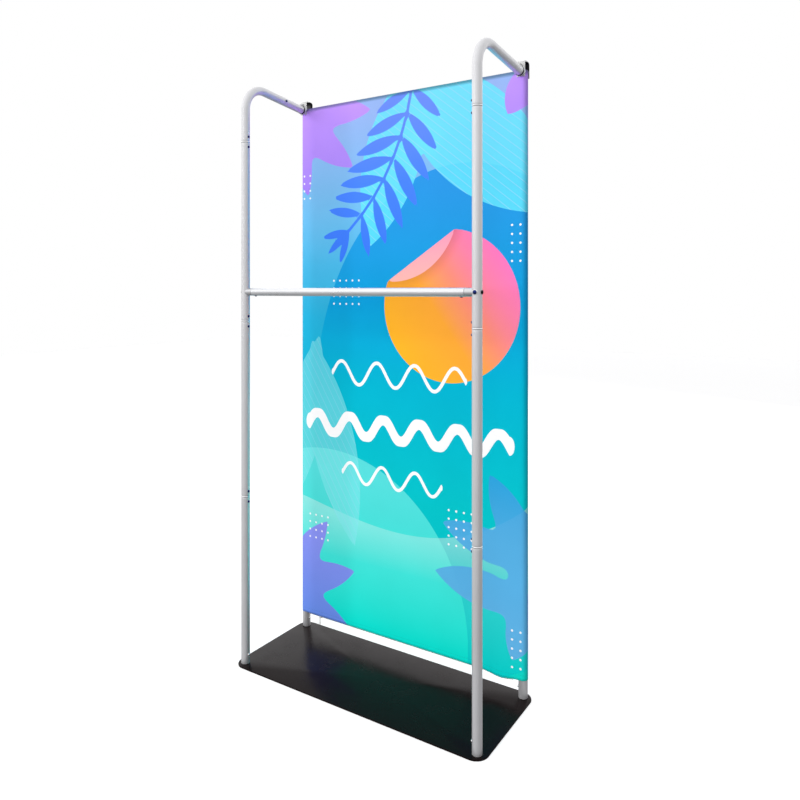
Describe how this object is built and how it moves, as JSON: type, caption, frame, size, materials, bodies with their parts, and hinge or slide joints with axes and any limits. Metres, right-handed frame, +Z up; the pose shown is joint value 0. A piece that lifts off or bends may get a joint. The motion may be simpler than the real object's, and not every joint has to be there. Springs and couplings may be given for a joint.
{
  "type": "banner stand",
  "caption": "Tube-frame banner stand: steel base plate, plug-together posts with snap buttons, arms hooked over a rear frame, a clothes rail and a zipped fabric banner.",
  "frame": {"origin": "on the floor, in the middle of the base plate", "axes": "+X to the viewer's right along the clothes rail, +Y from the clothes rail back to the banner, +Z up"},
  "size_m": [1.03, 0.416, 2.1866],
  "materials": {
    "black_coat": "satin black powder coat",
    "silver_tube": "satin silver",
    "coupler_steel": "bright zinc",
    "zinc_steel": "zinc plated",
    "blued_steel": "blued spring steel, polished",
    "chrome": "polished chrome",
    "black_hook": "gloss black dip coat, bright collar",
    "connector_plastic": "moulded black nylon",
    "banner_cloth": "printed stretch polyester knit, matt",
    "zip_tape": "woven polyester tape with moulded teeth",
    "zip_metal": "white enamelled die casting"
  },
  "bodies": {
    "frame": {"base_plate": "black_coat", "base_peg_front_left": "zinc_steel", "base_peg_front_right": "zinc_steel", "base_peg_rear_left": "zinc_steel", "base_peg_rear_right": "zinc_steel", "front_left_lower_tube": "silver_tube", "front_left_middle_tube": "silver_tube", "front_left_rail_tube": "silver_tube", "front_left_arm_tube": "silver_tube", "front_left_lower_coupler": "coupler_steel", "front_left_middle_coupler": "coupler_steel", "front_left_upper_coupler": "coupler_steel", "rail_stub_left": "silver_tube", "rail_bolt_left": "zinc_steel", "arm_hook_left": "black_hook", "rear_left_lower_tube": "silver_tube", "rear_left_upper_tube": "silver_tube", "corner_connector_left": "connector_plastic", "front_right_lower_tube": "silver_tube", "front_right_middle_tube": "silver_tube", "front_right_rail_tube": "silver_tube", "front_right_arm_tube": "silver_tube", "front_right_lower_coupler": "coupler_steel", "front_right_middle_coupler": "coupler_steel", "front_right_upper_coupler": "coupler_steel", "rail_stub_right": "silver_tube", "rail_bolt_right": "zinc_steel", "arm_hook_right": "black_hook", "rear_right_lower_tube": "silver_tube", "rear_right_upper_tube": "silver_tube", "corner_connector_right": "connector_plastic", "clothes_rail": "silver_tube", "top_bar": "silver_tube", "banner": "banner_cloth", "zip_chain": "zip_tape"},
    "peg_button_front_left": {"peg_button_front_left": "chrome"},
    "peg_button_front_right": {"peg_button_front_right": "chrome"},
    "peg_button_rear_left": {"peg_button_rear_left": "chrome"},
    "peg_button_rear_right": {"peg_button_rear_right": "chrome"},
    "front_left_lower_top_button": {"front_left_lower_top_button": "blued_steel"},
    "front_left_lower_bottom_button": {"front_left_lower_bottom_button": "blued_steel"},
    "front_left_middle_top_button": {"front_left_middle_top_button": "blued_steel"},
    "front_left_middle_bottom_button": {"front_left_middle_bottom_button": "blued_steel"},
    "front_left_upper_top_button": {"front_left_upper_top_button": "blued_steel"},
    "front_left_upper_bottom_button": {"front_left_upper_bottom_button": "blued_steel"},
    "rail_button_left": {"rail_button_left": "blued_steel"},
    "tee_button_left": {"tee_button_left": "blued_steel"},
    "arm_button_left": {"arm_button_left": "blued_steel"},
    "front_right_lower_top_button": {"front_right_lower_top_button": "blued_steel"},
    "front_right_lower_bottom_button": {"front_right_lower_bottom_button": "blued_steel"},
    "front_right_middle_top_button": {"front_right_middle_top_button": "blued_steel"},
    "front_right_middle_bottom_button": {"front_right_middle_bottom_button": "blued_steel"},
    "front_right_upper_top_button": {"front_right_upper_top_button": "blued_steel"},
    "front_right_upper_bottom_button": {"front_right_upper_bottom_button": "blued_steel"},
    "rail_button_right": {"rail_button_right": "blued_steel"},
    "tee_button_right": {"tee_button_right": "blued_steel"},
    "arm_button_right": {"arm_button_right": "blued_steel"},
    "zip_slider": {"zip_slider": "zip_metal"},
    "zip_pull": {"zip_pull": "zip_metal"}
  },
  "joints": [
    {"name": "peg_button_front_left_press", "type": "slide", "parent": "frame", "child": "peg_button_front_left", "axis": [-1, 0, 0], "range_m": [0, 0.006], "stiffness_N_per_m": 2500, "springref_m": -0.002},
    {"name": "peg_button_front_right_press", "type": "slide", "parent": "frame", "child": "peg_button_front_right", "axis": [1, 0, 0], "range_m": [0, 0.006], "stiffness_N_per_m": 2500, "springref_m": -0.002},
    {"name": "peg_button_rear_left_press", "type": "slide", "parent": "frame", "child": "peg_button_rear_left", "axis": [-1, 0, 0], "range_m": [0, 0.006], "stiffness_N_per_m": 2500, "springref_m": -0.002},
    {"name": "peg_button_rear_right_press", "type": "slide", "parent": "frame", "child": "peg_button_rear_right", "axis": [1, 0, 0], "range_m": [0, 0.006], "stiffness_N_per_m": 2500, "springref_m": -0.002},
    {"name": "front_left_lower_top_button_press", "type": "slide", "parent": "frame", "child": "front_left_lower_top_button", "axis": [-1, 0, 0], "range_m": [0, 0.006], "stiffness_N_per_m": 2500, "springref_m": -0.002},
    {"name": "front_left_lower_bottom_button_press", "type": "slide", "parent": "frame", "child": "front_left_lower_bottom_button", "axis": [-1, 0, 0], "range_m": [0, 0.006], "stiffness_N_per_m": 2500, "springref_m": -0.002},
    {"name": "front_left_middle_top_button_press", "type": "slide", "parent": "frame", "child": "front_left_middle_top_button", "axis": [-1, 0, 0], "range_m": [0, 0.006], "stiffness_N_per_m": 2500, "springref_m": -0.002},
    {"name": "front_left_middle_bottom_button_press", "type": "slide", "parent": "frame", "child": "front_left_middle_bottom_button", "axis": [-1, 0, 0], "range_m": [0, 0.006], "stiffness_N_per_m": 2500, "springref_m": -0.002},
    {"name": "front_left_upper_top_button_press", "type": "slide", "parent": "frame", "child": "front_left_upper_top_button", "axis": [-1, 0, 0], "range_m": [0, 0.006], "stiffness_N_per_m": 2500, "springref_m": -0.002},
    {"name": "front_left_upper_bottom_button_press", "type": "slide", "parent": "frame", "child": "front_left_upper_bottom_button", "axis": [-1, 0, 0], "range_m": [0, 0.006], "stiffness_N_per_m": 2500, "springref_m": -0.002},
    {"name": "rail_button_left_press", "type": "slide", "parent": "frame", "child": "rail_button_left", "axis": [0, 0, 1], "range_m": [0, 0.0042], "stiffness_N_per_m": 2500, "springref_m": -0.002},
    {"name": "tee_button_left_press", "type": "slide", "parent": "frame", "child": "tee_button_left", "axis": [0, -1, 0], "range_m": [0, 0.0055], "stiffness_N_per_m": 2500, "springref_m": -0.002},
    {"name": "arm_button_left_press", "type": "slide", "parent": "frame", "child": "arm_button_left", "axis": [-1, 0, 0], "range_m": [0, 0.006], "stiffness_N_per_m": 2500, "springref_m": -0.002},
    {"name": "front_right_lower_top_button_press", "type": "slide", "parent": "frame", "child": "front_right_lower_top_button", "axis": [1, 0, 0], "range_m": [0, 0.006], "stiffness_N_per_m": 2500, "springref_m": -0.002},
    {"name": "front_right_lower_bottom_button_press", "type": "slide", "parent": "frame", "child": "front_right_lower_bottom_button", "axis": [1, 0, 0], "range_m": [0, 0.006], "stiffness_N_per_m": 2500, "springref_m": -0.002},
    {"name": "front_right_middle_top_button_press", "type": "slide", "parent": "frame", "child": "front_right_middle_top_button", "axis": [1, 0, 0], "range_m": [0, 0.006], "stiffness_N_per_m": 2500, "springref_m": -0.002},
    {"name": "front_right_middle_bottom_button_press", "type": "slide", "parent": "frame", "child": "front_right_middle_bottom_button", "axis": [1, 0, 0], "range_m": [0, 0.006], "stiffness_N_per_m": 2500, "springref_m": -0.002},
    {"name": "front_right_upper_top_button_press", "type": "slide", "parent": "frame", "child": "front_right_upper_top_button", "axis": [1, 0, 0], "range_m": [0, 0.006], "stiffness_N_per_m": 2500, "springref_m": -0.002},
    {"name": "front_right_upper_bottom_button_press", "type": "slide", "parent": "frame", "child": "front_right_upper_bottom_button", "axis": [1, 0, 0], "range_m": [0, 0.006], "stiffness_N_per_m": 2500, "springref_m": -0.002},
    {"name": "rail_button_right_press", "type": "slide", "parent": "frame", "child": "rail_button_right", "axis": [0, 0, 1], "range_m": [0, 0.0042], "stiffness_N_per_m": 2500, "springref_m": -0.002},
    {"name": "tee_button_right_press", "type": "slide", "parent": "frame", "child": "tee_button_right", "axis": [0, 1, 0], "range_m": [0, 0.0055], "stiffness_N_per_m": 2500, "springref_m": -0.002},
    {"name": "arm_button_right_press", "type": "slide", "parent": "frame", "child": "arm_button_right", "axis": [1, 0, 0], "range_m": [0, 0.006], "stiffness_N_per_m": 2500, "springref_m": -0.002},
    {"name": "zip_slide", "type": "slide", "parent": "frame", "child": "zip_slider", "axis": [1, 0, 0], "range_m": [0, 0.71]},
    {"name": "zip_pull_swing", "type": "hinge", "parent": "zip_slider", "child": "zip_pull", "pos_m": [-0.395, 0.1554, 0.0659], "axis": [-1, 0, 0], "range_deg": [0, 110]}
  ]
}
